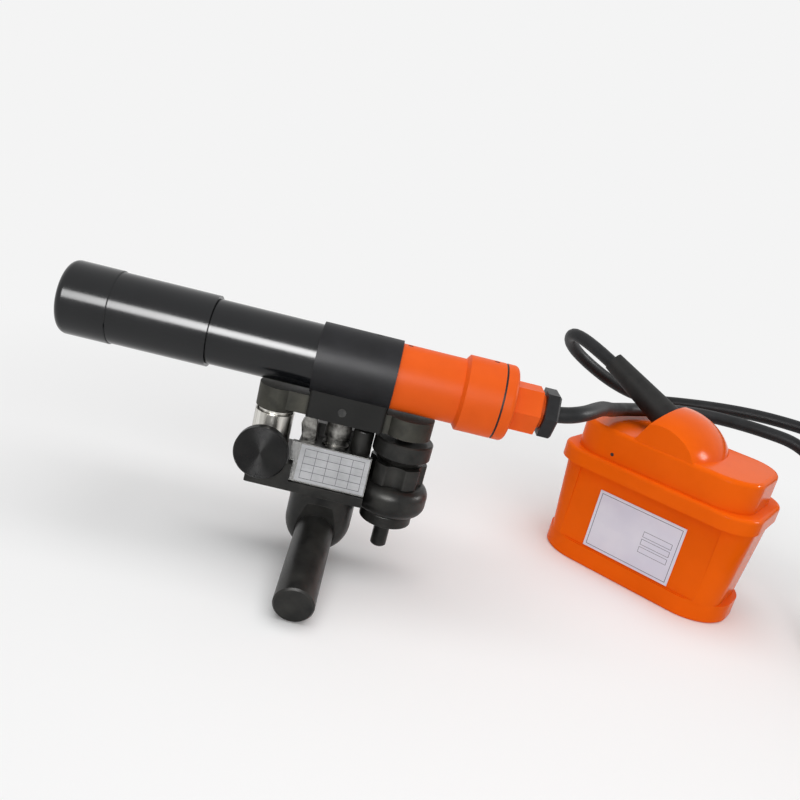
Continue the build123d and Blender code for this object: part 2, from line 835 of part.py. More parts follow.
# Middle tube with the neck for the focusing barrel and a rear spigot
with BuildPart() as mid_tube:
    with BuildSketch(across(tube_front)):
        Circle(tube_d / 2)
    extrude(amount=collar_right - tube_front)
    with BuildSketch(across(collar_right)):
        Circle(spigot_d / 2)
    extrude(amount=spigot_length)
    with BuildSketch(across(tube_front)):
        Circle(neck_d / 2)
    extrude(amount=-neck_length)
    with BuildSketch(across(tube_front)):
        Circle(tube_bore_d / 2)
    extrude(amount=collar_right + spigot_length - tube_front, mode=Mode.SUBTRACT)
    with BuildSketch(across(tube_front)):
        Circle(neck_bore_d / 2)
    extrude(amount=-neck_length, mode=Mode.SUBTRACT)

# Focusing barrel that turns on the neck
barrel_bore_d = neck_d + 2 * run_fit
with BuildPart() as front_barrel:
    with BuildSketch(across(barrel_front)):
        Circle(barrel_d / 2)
        Circle(barrel_bore_d / 2, mode=Mode.SUBTRACT)
    extrude(amount=tube_front - seam - barrel_front)

# Front ring with its open mouth
with BuildPart() as front_ring:
    with BuildSketch(across(ring_front)):
        Circle(ring_d / 2)
    extrude(amount=barrel_front - ring_front)
    fillet(front_ring.edges().sort_by(Axis.X)[0], ring_round)
    chamfer(front_ring.edges().filter_by(GeomType.CIRCLE).sort_by(Axis.X)[-1], ring_edge)
    with BuildSketch(across(barrel_front)):
        Circle(barrel_bore_d / 2)
    extrude(amount=ring_spigot_length)
    with BuildSketch(across(ring_front)):
        Circle(ring_bore_d / 2)
    extrude(amount=barrel_front + ring_spigot_length - ring_front, mode=Mode.SUBTRACT)
    with BuildSketch(across(barrel_front + ring_spigot_length)):
        Circle(window_d / 2)
    extrude(amount=-(2 * ring_spigot_length), mode=Mode.SUBTRACT)

with BuildPart() as front_window:
    with BuildSketch(across(barrel_front - ring_spigot_length)):
        Circle(window_d / 2)
    extrude(amount=window_thickness)

# Lens cell: flange in the barrel, sleeve in the neck
cell_sleeve_d = neck_bore_d - 2 * run_fit
cell_sleeve_front = cell_flange_front + cell_flange_length
with BuildPart() as lens_cell:
    with BuildSketch(across(cell_flange_front)):
        Circle(barrel_bore_d / 2 - run_fit)
    extrude(amount=cell_flange_length)
    with BuildSketch(across(cell_sleeve_front)):
        Circle(cell_sleeve_d / 2)
    extrude(amount=cell_sleeve_length)
    with BuildSketch(across(cell_flange_front)):
        Circle(cell_lip_d / 2)
    extrude(amount=cell_flange_length + cell_sleeve_length, mode=Mode.SUBTRACT)
    with BuildSketch(across(cell_flange_front)):
        Circle(cell_bore_d / 2)
    extrude(amount=lens_seat, mode=Mode.SUBTRACT)

lens_back = cell_flange_front + lens_seat
lens_r = ((cell_bore_d / 2) ** 2 + lens_bulge**2) / (2 * lens_bulge)
with BuildPart() as objective_lens:
    with BuildSketch(across(lens_back)):
        Circle(cell_bore_d / 2)
    extrude(amount=-(lens_edge + lens_bulge))
    with Locations((lens_back - lens_edge - lens_bulge + lens_r, turn_y, tube_z)):
        Sphere(lens_r, mode=Mode.INTERSECT)

# Laser module held by two rings in the middle tube
with BuildPart() as laser_module:
    with BuildSketch(across(module_front)):
        Circle(module_d / 2)
    extrude(amount=module_length)
    chamfer(laser_module.edges().sort_by(Axis.X)[0], 1)

with BuildPart() as module_rings:
    for along in (module_ring_1, module_ring_2):
        with BuildSketch(across(module_front + along)):
            Circle(tube_bore_d / 2)
            Circle(module_d / 2, mode=Mode.SUBTRACT)
        extrude(amount=module_ring_width)

# Rear housing with its flare, rear cap and sealing ring
with BuildPart() as rear_housing:
    with BuildSketch(across(collar_right)):
        Circle(housing_d / 2)
    extrude(amount=flare_start - collar_right)
    with BuildSketch(across(flare_start)):
        Circle(housing_d / 2)
    with BuildSketch(across(flare_end)):
        Circle(flare_d / 2)
    loft()
    with BuildSketch(across(flare_end)):
        Circle(flare_d / 2)
    extrude(amount=housing_end - flare_end)
    with BuildSketch(across(collar_right)):
        Circle(spigot_d / 2)
    extrude(amount=spigot_length, mode=Mode.SUBTRACT)
    with BuildSketch(across(collar_right + spigot_length)):
        Circle(housing_bore_d / 2)
    extrude(amount=flare_start - collar_right - spigot_length, mode=Mode.SUBTRACT)
    with BuildSketch(across(housing_end)):
        Circle(flare_bore_d / 2)
    extrude(amount=-(housing_end - flare_end), mode=Mode.SUBTRACT)
    with BuildSketch(across(flare_end)):
        Circle(housing_bore_d / 2)
    extrude(amount=flare_start - flare_end, mode=Mode.SUBTRACT)
    with BuildSketch(level(tube_z, housing_screw_x)):
        Circle(set_screw_d / 2)
    extrude(amount=flare_d, mode=Mode.SUBTRACT)
    with BuildSketch(level(tube_z, cap_screw_x)):
        Circle(set_screw_d / 2)
    extrude(amount=flare_d, mode=Mode.SUBTRACT)

cap_front = housing_end + seal_width
cap_end = cap_front + cap_length
with BuildPart() as rear_cap:
    with BuildSketch(across(cap_front)):
        Circle(flare_d / 2)
    extrude(amount=cap_length)
    fillet(rear_cap.edges().sort_by(Axis.X)[-1], cap_round)
    with BuildSketch(across(cap_front)):
        Circle(seal_core_d / 2)
    extrude(amount=-seal_width)
    with BuildSketch(across(housing_end)):
        Circle(flare_bore_d / 2)
    extrude(amount=-cap_spigot_length)
    with BuildSketch(across(cap_end)):
        Circle(gland_thread_d / 2)
    extrude(amount=-(cap_length + seal_width + cap_spigot_length), mode=Mode.SUBTRACT)

with BuildPart() as cap_seal:
    with BuildSketch(across(housing_end)):
        Circle(seal_d / 2)
        Circle(seal_core_d / 2, mode=Mode.SUBTRACT)
    extrude(amount=seal_width)

# Driver board on a chord of the housing's bore
board_half = sqrt((housing_bore_d / 2) ** 2 - (board_drop + board_thickness) ** 2) - board_gap
with BuildPart() as driver_board:
    with BuildSketch(level(tube_z - board_drop, board_front + board_length / 2)):
        Rectangle(board_length, 2 * board_half)
    extrude(amount=-board_thickness)
    with BuildSketch(level(tube_z - board_drop, board_front + board_length / 2)):
        Rectangle(chip_length, chip_width)
    extrude(amount=chip_height)

# Cable gland: hexagonal body, rubber seal and nut
gland_end = cap_end + gland_length
nut_start = gland_end + gland_step
nut_end = nut_start + nut_length
with BuildPart() as gland_body:
    with BuildSketch(across(cap_end)):
        RegularPolygon(gland_corner_d / 2, 6)
    extrude(amount=gland_length)
    with BuildSketch(across(cap_end)):
        Circle(gland_thread_d / 2)
    extrude(amount=-gland_thread_length)
    with BuildSketch(across(gland_end)):
        Circle(gland_neck_d / 2)
    extrude(amount=gland_neck_length)
    with BuildSketch(across(gland_end + gland_neck_length)):
        Circle(gland_bore_d / 2)
    extrude(amount=-(gland_neck_length + gland_length - seal_start), mode=Mode.SUBTRACT)
    with BuildSketch(across(cap_end - gland_thread_length)):
        Circle(cable_d / 2 + seal_gap)
    extrude(amount=gland_thread_length + seal_start, mode=Mode.SUBTRACT)

with BuildPart() as gland_seal:
    with BuildSketch(across(cap_end + seal_start)):
        Circle(gland_bore_d / 2)
        Circle(cable_d / 2 + seal_gap, mode=Mode.SUBTRACT)
    extrude(amount=nut_end - nut_wall - cap_end - seal_start)

with BuildPart() as gland_nut:
    with BuildSketch(across(nut_start)):
        RegularPolygon(nut_corner_d / 2, 6)
    extrude(amount=nut_length)
    chamfer(gland_nut.faces().sort_by(Axis.X)[-1].edges(), nut_chamfer)
    with BuildSketch(across(nut_start)):
        Circle(gland_neck_d / 2)
    extrude(amount=nut_length - nut_wall, mode=Mode.SUBTRACT)
    with BuildSketch(across(nut_start)):
        Circle(cable_d / 2 + seal_gap)
    extrude(amount=nut_length, mode=Mode.SUBTRACT)

# Set screws on top of collar, housing and flare
with BuildPart() as set_screws:
    for x, low, high in (
        (collar_screw_x, tube_d / 2, collar_d / 2),
        (housing_screw_x, spigot_d / 2, housing_d / 2),
        (cap_screw_x, flare_bore_d / 2, flare_d / 2),
    ):
        with BuildSketch(level(tube_z + low, x)):
            Circle(set_screw_d / 2)
        extrude(amount=high - low - set_screw_sink)

# Battery case: stepped foot, tapered body, wide flange, open cavity
with BuildPart() as battery_case:
    with BuildSketch(on_box(0)):
        RectangleRounded(box_foot_length, box_foot_depth, box_foot_corner)
    extrude(amount=box_foot_height)
    chamfer(battery_case.faces().sort_by(Axis.Z)[0].edges(), 1.5)
    with BuildSketch(on_box(box_foot_height)):
        RectangleRounded(box_waist_length, box_depth, box_corner)
    with BuildSketch(on_box(body_top)):
        RectangleRounded(box_body_length, box_depth, box_corner)
    loft()
    with BuildSketch(on_box(body_top)):
        RectangleRounded(box_flange_length, box_flange_depth, box_flange_corner)
    extrude(amount=box_flange_height)
    fillet(battery_case.faces().sort_by(Axis.Z)[-1].edges(), box_flange_round)
    with BuildSketch(on_box(box_floor)):
        RectangleRounded(cavity_length, cavity_depth, cavity_corner)
    extrude(amount=flange_top - box_floor, mode=Mode.SUBTRACT)
    with BuildSketch(on_box(box_foot_height + panel_rise, 0, panel_depth / 2 - box_depth / 2)):
        Rectangle(panel_length, panel_depth)
    extrude(amount=panel_height, mode=Mode.SUBTRACT)

# Plate on the box's front panel, left blank
plate_y = panel_depth - box_depth / 2 - plate_thickness / 2
with BuildPart() as battery_nameplate:
    with BuildSketch(on_box(box_foot_height + panel_rise + 1, plate_x, plate_y)):
        Rectangle(plate_length, plate_thickness)
    extrude(amount=plate_height)

# Gasket between case and lid
with BuildPart() as lid_gasket:
    with BuildSketch(on_box(flange_top)):
        RectangleRounded(
            lid_length - 2 * gasket_inset, lid_depth - 2 * gasket_inset, lid_corner - gasket_inset
        )
        RectangleRounded(cavity_length, cavity_depth, cavity_corner, mode=Mode.SUBTRACT)
    extrude(amount=gasket_thickness)

# Cable hood: egg shape cut off at its mouth and kept inside the lid's outline
box_ahead = Vector(cos(radians(box_turn)), sin(radians(box_turn)), 0)
hood_side = Vector(-sin(radians(box_turn)), cos(radians(box_turn)), 0)
hood_way = box_ahead * cos(radians(hood_slope)) - Vector(0, 0, 1) * sin(radians(hood_slope))
hood_up = box_ahead * sin(radians(hood_slope)) + Vector(0, 0, 1) * cos(radians(hood_slope))
hood_mouth = on_box(lid_top + hood_rise, hood_x).origin
boot_spot = hood_mouth + hood_up * boot_rise
with BuildPart() as egg:
    Sphere(hood_high)
    scale(by=(hood_long / hood_high, hood_wide / hood_high, 1))

with BuildPart() as hood:
    with BuildSketch(on_box(lid_top - lid_round)):
        RectangleRounded(
            lid_length - 2 * hood_margin, lid_depth - 2 * hood_margin, lid_corner - hood_margin
        )
    extrude(amount=2 * hood_high)
    with Locations(Plane(origin=hood_mouth + hood_way * hood_ahead, x_dir=hood_way, z_dir=hood_up)):
        add(egg.part, mode=Mode.INTERSECT)
    split(bisect_by=Plane(origin=hood_mouth, x_dir=hood_side, z_dir=hood_way), keep=Keep.TOP)

# Lid: hollow below, with the hood on top and a plug that fits the cavity
with BuildPart() as battery_lid:
    with BuildSketch(on_box(lid_base)):
        RectangleRounded(lid_length, lid_depth, lid_corner)
    extrude(amount=lid_height)
    fillet(battery_lid.faces().sort_by(Axis.Z)[-1].edges(), lid_round)
    with BuildSketch(on_box(flange_top - lid_plug)):
        RectangleRounded(cavity_length, cavity_depth, cavity_corner)
    extrude(amount=lid_plug + gasket_thickness)
    with BuildSketch(on_box(flange_top - lid_plug)):
        RectangleRounded(
            cavity_length - 2 * lid_wall, cavity_depth - 2 * lid_wall, cavity_corner - lid_wall
        )
    extrude(amount=lid_top - lid_wall - flange_top + lid_plug, mode=Mode.SUBTRACT)
    add(hood.part)
    with BuildSketch(Plane(origin=boot_spot, x_dir=hood_side, z_dir=hood_way)):
        Circle(boot_root_d / 2)
    extrude(amount=boot_seat, mode=Mode.SUBTRACT)
    with BuildSketch(Plane(origin=boot_spot, x_dir=hood_side, z_dir=hood_way)):
        Circle(cable_d / 2)
    extrude(amount=boot_seat + 2 * hood_high, mode=Mode.SUBTRACT)
    lid_spot = on_box(lid_base + lid_screw_rise, lid_screw_x, -lid_depth / 2).origin
    with BuildSketch(Plane(origin=lid_spot, x_dir=box_ahead, z_dir=hood_side)):
        Circle(lid_screw_d / 2)
    extrude(amount=lid_screw_length + lid_screw_sink, mode=Mode.SUBTRACT)

with BuildPart() as lid_screw:
    with BuildSketch(Plane(origin=lid_spot + hood_side * lid_screw_sink, x_dir=box_ahead, z_dir=hood_side)):
        Circle(lid_screw_d / 2)
    extrude(amount=lid_screw_length)

# Rubber boot seated in the hood's mouth
boot_root = Plane(origin=boot_spot + hood_way * boot_seat, x_dir=hood_side, z_dir=hood_way * -1)
boot_mouth = Plane(origin=boot_spot, x_dir=hood_side, z_dir=hood_way * -1)
boot_tip = Plane(origin=boot_spot - hood_way * boot_length, x_dir=hood_side, z_dir=hood_way * -1)
with BuildPart() as cable_boot:
    with BuildSketch(boot_root):
        Circle(boot_root_d / 2)
    extrude(amount=boot_seat)
    with BuildSketch(boot_mouth):
        Circle(boot_root_d / 2)
    with BuildSketch(boot_tip):
        Circle(boot_tip_d / 2)
    loft()
    with BuildSketch(boot_root):
        Circle(cable_d / 2)
    extrude(amount=boot_seat + boot_length, mode=Mode.SUBTRACT)

# Battery cells standing on the case's floor
with BuildPart() as battery_cells:
    with BuildSketch(on_box(box_floor)):
        with GridLocations(cell_pitch_long, cell_pitch_deep, cell_columns, cell_rows):
            Circle(cell_d / 2)
    extrude(amount=cell_height)

# Cable: from the gland to the coil, the coil, and from the coil to the boot
coil_low = floor_z + coil_lift + cable_d / 2
coil_high = coil_low + coil_pitch
lead = cable_d
laser_points = [
    (cap_end - gland_thread_length, turn_y, tube_z),
    (nut_end + gland_run, turn_y, tube_z),
    (199.6, 75, 122),
    (238.1, 160, 106.6),
    (314.7, 203, 109.4),
    (376, 203, 109.4),
    (428, 182, 107),
    (456, 136, 62),
    (coil_x - coil_r + 8, 64, 6),
    (coil_x - coil_r, coil_y + laser_leg_run, coil_high),
    (coil_x - coil_r, coil_y + lead, coil_high),
]
boot_end = boot_spot - hood_way * (boot_length + boot_lead)
battery_points = [
    tuple(boot_spot + hood_way * boot_seat),
    tuple(boot_end),
    (191.3, 250, 134.8),
    (277.2, 262, 94.5),
    (347.7, 254, 107.5),
    (405.9, 236, 115.3),
    (462, 206, 116),
    (512, 150, 66),
    (coil_x + coil_r, 80, 6),
    (coil_x + coil_r, coil_y + battery_leg_run, coil_low),
    (coil_x + coil_r, coil_y + lead, coil_low),
]
with BuildPart() as cable_laser_run:
    with BuildLine() as laser_path:
        FilletPolyline(*laser_points, radius=run_radii(laser_points))
    with BuildSketch(Plane(origin=laser_path.line @ 0, z_dir=laser_path.line % 0)):
        Circle(cable_d / 2)
    sweep(path=laser_path.wires()[0])

with BuildPart() as cable_battery_run:
    with BuildLine() as battery_path:
        FilletPolyline(*battery_points, radius=run_radii(battery_points))
    with BuildSketch(Plane(origin=battery_path.line @ 0, z_dir=battery_path.line % 0)):
        Circle(cable_d / 2)
    sweep(path=battery_path.wires()[0])


coil_end = 2 * coil_turns + 0.5


def coil_spot(turn):
    """Place and direction on the coil: in on the lower layer, out on the upper."""
    climb = min(max((turn - coil_turns) / 0.5, 0.0), 1.0)
    r = coil_r - coil_pitch * min(turn, coil_end - turn)
    z = coil_low + (coil_high - coil_low) * climb * climb * (3 - 2 * climb)
    a = -2 * pi * turn
    swell = 0.0
    if 0 < turn < coil_end / 2:
        swell = -coil_pitch
    if coil_end / 2 < turn < coil_end:
        swell = coil_pitch
    rise = (coil_high - coil_low) * 6 * climb * (1 - climb) / 0.5
    spot = Vector(coil_x + r * cos(a), coil_y + r * sin(a), z)
    way = Vector(
        swell * cos(a) + 2 * pi * r * sin(a), swell * sin(a) - 2 * pi * r * cos(a), rise
    )
    return spot, unit(way)


with BuildPart() as cable_coil:
    with BuildLine() as coil_path:
        first, first_way = coil_spot(0)
        last, last_way = coil_spot(coil_end)
        Line(first - first_way * lead, first)
        for i in range(round(4 * coil_end)):
            start, start_way = coil_spot(i / 4)
            end, end_way = coil_spot((i + 1) / 4)
            biarc(start, start_way, end, end_way)
        Line(last, last + last_way * lead)
    with BuildSketch(Plane(origin=first - first_way * lead, z_dir=first_way)):
        Circle(cable_d / 2)
    sweep(path=coil_path.wires()[0])

# Tie round the coil's turns at the front
tie_inner = coil_r - coil_pitch * (coil_turns - 0.25) - cable_d / 2 - tie_play
tie_outer = coil_r - coil_pitch * 0.25 + cable_d / 2 + tie_play
tie_low = coil_low - cable_d / 2 - tie_play
tie_high = coil_high + cable_d / 2 + tie_play
tie_corner = cable_d / 2
with BuildPart() as coil_tie:
    with BuildSketch(Plane.YZ.offset(coil_x - tie_width / 2)):
        with Locations((coil_y - (tie_inner + tie_outer) / 2, (tie_low + tie_high) / 2)):
            RectangleRounded(
                tie_outer - tie_inner + 2 * tie_thickness,
                tie_high - tie_low + 2 * tie_thickness,
                tie_corner,
            )
            RectangleRounded(
                tie_outer - tie_inner,
                tie_high - tie_low,
                tie_corner - tie_thickness,
                mode=Mode.SUBTRACT,
            )
    extrude(amount=tie_width)

# Cable lengths, bends and the coil's least gap to itself
cable_length = laser_path.wires()[0].length + battery_path.wires()[0].length
cable_length = cable_length + coil_path.wires()[0].length
print("cable length", round(cable_length, 1))
print("bends", [round(r, 1) for r in run_radii(laser_points) + run_radii(battery_points)])
spots = [coil_spot(i / 40)[0] for i in range(round(40 * coil_end) + 1)]
near = min(
    (a - b).length for i, a in enumerate(spots) for j, b in enumerate(spots) if j - i > 20
)
print("coil gap", round(near - cable_d, 2))
print("spring gap", round(spring_rise / spring_turns - spring_wire_d, 2))

pieces = {
    "mounting_rod": mounting_rod,
    "turning_boss": turning_boss,
    "retainer_washer": retainer_washer,
    "retainer_screw": retainer_screw,
    "tangent_arm": tangent_arm,
    "swivel_bar": swivel_bar,
    "nameplate": nameplate,
    "pivot_post": pivot_post,
    "stop_post_left": stop_post_left,
    "stop_post_right": stop_post_right,
    "azimuth_knob": azimuth_knob,
    "azimuth_screw": azimuth_screw,
    "screw_retainer": screw_retainer,
    "jack_screw": jack_screw,
    "elevation_handwheel": elevation_handwheel,
    "lock_ring": lock_ring,
    "retaining_collar": retaining_collar,
    "cradle_arm": cradle_arm,
    "trunnion_pin": trunnion_pin,
    "collar_bolts": collar_bolts,
    "spring_tower": spring_tower,
    "spring_cup": spring_cup,
    "pressure_spring": pressure_spring,
    "tube_collar": tube_collar,
    "mid_tube": mid_tube,
    "front_barrel": front_barrel,
    "front_ring": front_ring,
    "front_window": front_window,
    "lens_cell": lens_cell,
    "objective_lens": objective_lens,
    "laser_module": laser_module,
    "module_rings": module_rings,
    "rear_housing": rear_housing,
    "rear_cap": rear_cap,
    "cap_seal": cap_seal,
    "driver_board": driver_board,
    "gland_body": gland_body,
    "gland_seal": gland_seal,
    "gland_nut": gland_nut,
    "set_screws": set_screws,
    "battery_case": battery_case,
    "battery_nameplate": battery_nameplate,
    "lid_gasket": lid_gasket,
    "battery_lid": battery_lid,
    "lid_screw": lid_screw,
    "cable_boot": cable_boot,
    "battery_cells": battery_cells,
    "cable_laser_run": cable_laser_run,
    "cable_coil": cable_coil,
    "cable_battery_run": cable_battery_run,
    "coil_tie": coil_tie,
}
for name, piece in pieces.items():
    piece.part.label = name
    export_step(piece.part, "parts/" + name + ".step")
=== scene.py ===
import math

import bpy
from mathutils import Matrix, Vector


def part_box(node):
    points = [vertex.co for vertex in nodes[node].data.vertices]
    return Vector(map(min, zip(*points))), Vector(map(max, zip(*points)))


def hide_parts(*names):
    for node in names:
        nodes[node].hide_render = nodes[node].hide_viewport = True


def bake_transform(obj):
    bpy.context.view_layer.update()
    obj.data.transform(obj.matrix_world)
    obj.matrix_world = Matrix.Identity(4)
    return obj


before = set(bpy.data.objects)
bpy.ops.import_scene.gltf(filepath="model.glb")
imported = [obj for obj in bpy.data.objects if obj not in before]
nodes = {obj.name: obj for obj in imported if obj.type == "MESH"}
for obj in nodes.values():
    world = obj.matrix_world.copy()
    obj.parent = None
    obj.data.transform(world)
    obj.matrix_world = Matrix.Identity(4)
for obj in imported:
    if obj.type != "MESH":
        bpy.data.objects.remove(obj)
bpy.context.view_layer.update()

# Camera: stands in front of the knob, above the tube, and is rolled so that
# the tube runs down to the right.
camera_spot = Vector((0.01440, -0.54365, 0.27498))
pitch = math.radians(16.57)
yaw = math.radians(2.39)
roll = math.radians(14.37)
ahead = Vector(
    (math.sin(yaw) * math.cos(pitch), math.cos(yaw) * math.cos(pitch), -math.sin(pitch))
)
side = Vector((math.cos(yaw), -math.sin(yaw), 0))
over = side.cross(ahead)
side_rolled = side * math.cos(roll) + over * math.sin(roll)
over_rolled = over * math.cos(roll) - side * math.sin(roll)
camera_turn = Matrix((side_rolled, over_rolled, -ahead)).transposed().to_4x4()
bpy.ops.object.select_all(action="DESELECT")
bpy.ops.object.camera_add()
camera = bpy.context.object
camera.name = "camera"
camera.data.sensor_width = 36.0
camera.data.lens = 36.774
camera.data.clip_start = 0.01
camera.matrix_world = Matrix.Translation(camera_spot) @ camera_turn
bpy.context.scene.camera = camera

# Cable: one length of round black rubber lead, from the laser's gland to the
# moulded boot of the battery box. Its spare length is tied up in a coil that
# lies on the floor at the right.
cable_d = 0.0120
axis_y, tube_z = 0.018711, 0.124299
floor_z = -0.028027
nut_end = 0.148
coil_x, coil_y, coil_r, coil_pitch = 0.488, -0.019, 0.072, 0.0126
coil_lift = 0.0014
coil_low = floor_z + coil_lift + cable_d / 2
coil_high = coil_low + coil_pitch
coil_turns, turn_steps = 3.5, 24
climb_start, climb_turns = 1.5, 0.5
laser_inset, laser_run_in, battery_run_in = 0.008, 0.040, 0.036
laser_route = [
    (0.1020, axis_y, tube_z),
    (0.1340, axis_y, tube_z),
    (0.1520, axis_y, tube_z),
    (0.1690, 0.0225, 0.1282),
    (0.1920, 0.0620, 0.1268),
    (0.2160, 0.1160, 0.1138),
    (0.2430, 0.1660, 0.1054),
    (0.3147, 0.2030, 0.1094),
    (0.3760, 0.2030, 0.1094),
    (0.4280, 0.1820, 0.1070),
    (0.4560, 0.1360, 0.0620),
    (coil_x - coil_r + laser_inset, 0.0640, 0.0060),
    (coil_x - coil_r, coil_y + laser_run_in, coil_high),
]
up = Vector((0, 0, 1))
box_turn = math.radians(-36.5)
box_ahead = Vector((math.cos(box_turn), math.sin(box_turn), 0))
box_foot = Vector((0.2857, 0.1242, floor_z))
hood_slope = math.radians(26)
hood_back, hood_height, boot_rise = 0.021, 0.1346, 0.0075
cable_depth, boot_lead = 0.012, 0.115
hood_way = box_ahead * math.cos(hood_slope) - up * math.sin(hood_slope)
hood_up = box_ahead * math.sin(hood_slope) + up * math.cos(hood_slope)
boot_spot = box_foot - box_ahead * hood_back + up * hood_height + hood_up * boot_rise
battery_route = [
    tuple(boot_spot + hood_way * cable_depth),
    tuple(boot_spot - hood_way * boot_lead),
    (0.1913, 0.2500, 0.1348),
    (0.2772, 0.2620, 0.0945),
    (0.3477, 0.2540, 0.1075),
    (0.4059, 0.2360, 0.1153),
    (0.4620, 0.2060, 0.1160),
    (0.5120, 0.1500, 0.0660),
    (coil_x + coil_r, 0.0800, 0.0060),
    (coil_x + coil_r, coil_y + battery_run_in, coil_low),
]


def coil_point(turn):
    """A point on the coil: in on the lower layer and out on the upper."""
    climb = min(max((turn - climb_start) / climb_turns, 0.0), 1.0)
    layer_r = coil_r - coil_pitch * min(turn, coil_turns - turn)
    r = layer_r / math.cos(math.pi / turn_steps)
    z = coil_low + coil_pitch * climb * climb * (3 - 2 * climb)
    a = -2 * math.pi * turn
    return (coil_x + r * math.cos(a), coil_y + r * math.sin(a), z)


coil_route = [coil_point((i + 0.5) / turn_steps) for i in range(int(turn_steps * coil_turns))]
cable_route = laser_route + coil_route[::-1] + battery_route[::-1]


def new_curve(name, kind, points):
    """A curve of that kind on these points, and its one spline."""
    curve = bpy.data.curves.new(name, "CURVE")
    curve.dimensions = "3D"
    spline = curve.splines.new(kind)
    spline.points.add(len(points) - 1)
    for spot, point in zip(points, spline.points):
        point.co = (*spot, 1)
    return curve, spline


def curve_mesh(curve):
    """The mesh that a curve comes to."""
    line = bpy.data.objects.new(curve.name, curve)
    bpy.context.collection.objects.link(line)
    bpy.context.view_layer.update()
    mesh = bpy.data.meshes.new_from_object(line)
    bpy.data.objects.remove(line)
    return mesh


def cable_line(points):
    """The points along the centre of a smooth curve on a route."""
    curve, spline = new_curve("cable_route", "NURBS", points)
    spline.order_u = 3
    spline.use_endpoint_u = True
    curve.resolution_u = 14
    thread = curve_mesh(curve)
    path = [v.co.copy() for v in thread.vertices]
    bpy.data.meshes.remove(thread)
    return path


def round_tube(name, path, diameter):
    """A closed round tube along a path."""
    curve = new_curve(name + "_line", "POLY", path)[0]
    curve.twist_mode = "Z_UP"
    curve.bevel_depth = diameter / 2
    curve.bevel_resolution = 6
    curve.use_fill_caps = True
    tube = bpy.data.objects.new(name, curve_mesh(curve))
    bpy.context.collection.objects.link(tube)
    for face in tube.data.polygons:
        face.use_smooth = len(face.vertices) == 4
    return tube


# The cable is cut in two a little past the nut: the stub beside the nut, and the lead, whose first
# stretch runs along a level line away from the tube. Both only take their shape here; nothing here
# lets them give with the tilt or the turn.
stub_reach, stub_give = 0.028, 0.88
whole_path = cable_line(cable_route)
split = next(i for i, p in enumerate(whole_path) if p.x > nut_end + stub_reach)
stub_path = whole_path[: split + 1]
lead_path = whole_path[split:]
cable_stub = round_tube("cable_stub", stub_path, cable_d)
cable = round_tube("cable", lead_path, cable_d)
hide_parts("cable_laser_run")
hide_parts("cable_coil", "cable_battery_run")
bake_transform(cable_stub)
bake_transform(cable)


def feed(tree, value, socket):
    """Links another socket to this one, or sets a plain value on it."""
    if isinstance(value, bpy.types.NodeSocket):
        tree.links.new(value, socket)
    else:
        socket.default_value = value


def add_node(tree, kind, **inputs):
    """A node whose inputs are values or the sockets that feed them."""
    node = tree.nodes.new("ShaderNode" + kind)
    for name, value in inputs.items():
        feed(tree, value, node.inputs[name.replace("_", " ")])
    return node


def reckon(tree, operation, *values):
    """One sum on sockets or numbers."""
    node = tree.nodes.new("ShaderNodeMath")
    node.operation = operation
    for socket, value in zip(node.inputs, values):
        feed(tree, value, socket)
    return node.outputs[0]


def mix_tone(tree, share, first, second):
    """The colour between two, by a share."""
    node = tree.nodes.new("ShaderNodeMix")
    node.data_type = "RGBA"
    # The pair for colours comes after those for numbers and for vectors.
    feed(tree, share, node.inputs[0])
    feed(tree, first, node.inputs[6])
    feed(tree, second, node.inputs[7])
    return node.outputs[2]


def add_group(name, inputs, outputs):
    """An empty effect with its named sockets."""
    group = bpy.data.node_groups.new(name, "ShaderNodeTree")
    for label, kind, value in inputs:
        socket = group.interface.new_socket(label, in_out="INPUT", socket_type="NodeSocket" + kind)
        socket.default_value = value
    for label, kind in outputs:
        group.interface.new_socket(label, in_out="OUTPUT", socket_type="NodeSocket" + kind)
    given = group.nodes.new("NodeGroupInput").outputs
    wanted = group.nodes.new("NodeGroupOutput").inputs
    return group, given, wanted


def use_group(tree, group, **inputs):
    """An effect placed in a material with its own values."""
    node = tree.nodes.new("ShaderNodeGroup")
    node.node_tree = group
    for name, value in inputs.items():
        feed(tree, value, node.inputs[name])
    return node.outputs


def finish(name, roughness, metallic=0.0, color=(0.5, 0.5, 0.5), gloss=0.5):
    """A new finish in one tone."""
    material = bpy.data.materials.new(name)
    material.use_nodes = True
    shader = material.node_tree.nodes["Principled BSDF"]
    shader.inputs["Base Color"].default_value = (*color, 1)
    shader.inputs["Roughness"].default_value = roughness
    shader.inputs["Metallic"].default_value = metallic
    shader.inputs["Specular IOR Level"].default_value = gloss
    return material


def insides(material):
    """A finish's nodes and its shader."""
    return material.node_tree, material.node_tree.nodes["Principled BSDF"]


def dress(material, *names):
    """Puts a finish on the pieces of these names."""
    for name in names:
        nodes[name].data.materials.clear()
        nodes[name].data.materials.append(material)


def stipple(tree, shader, height, depth):
    """A fine relief of that depth."""
    bump = add_node(tree, "Bump", Height=height, Strength=1.0, Distance=depth)
    tree.links.new(bump.outputs["Normal"], shader.inputs["Normal"])


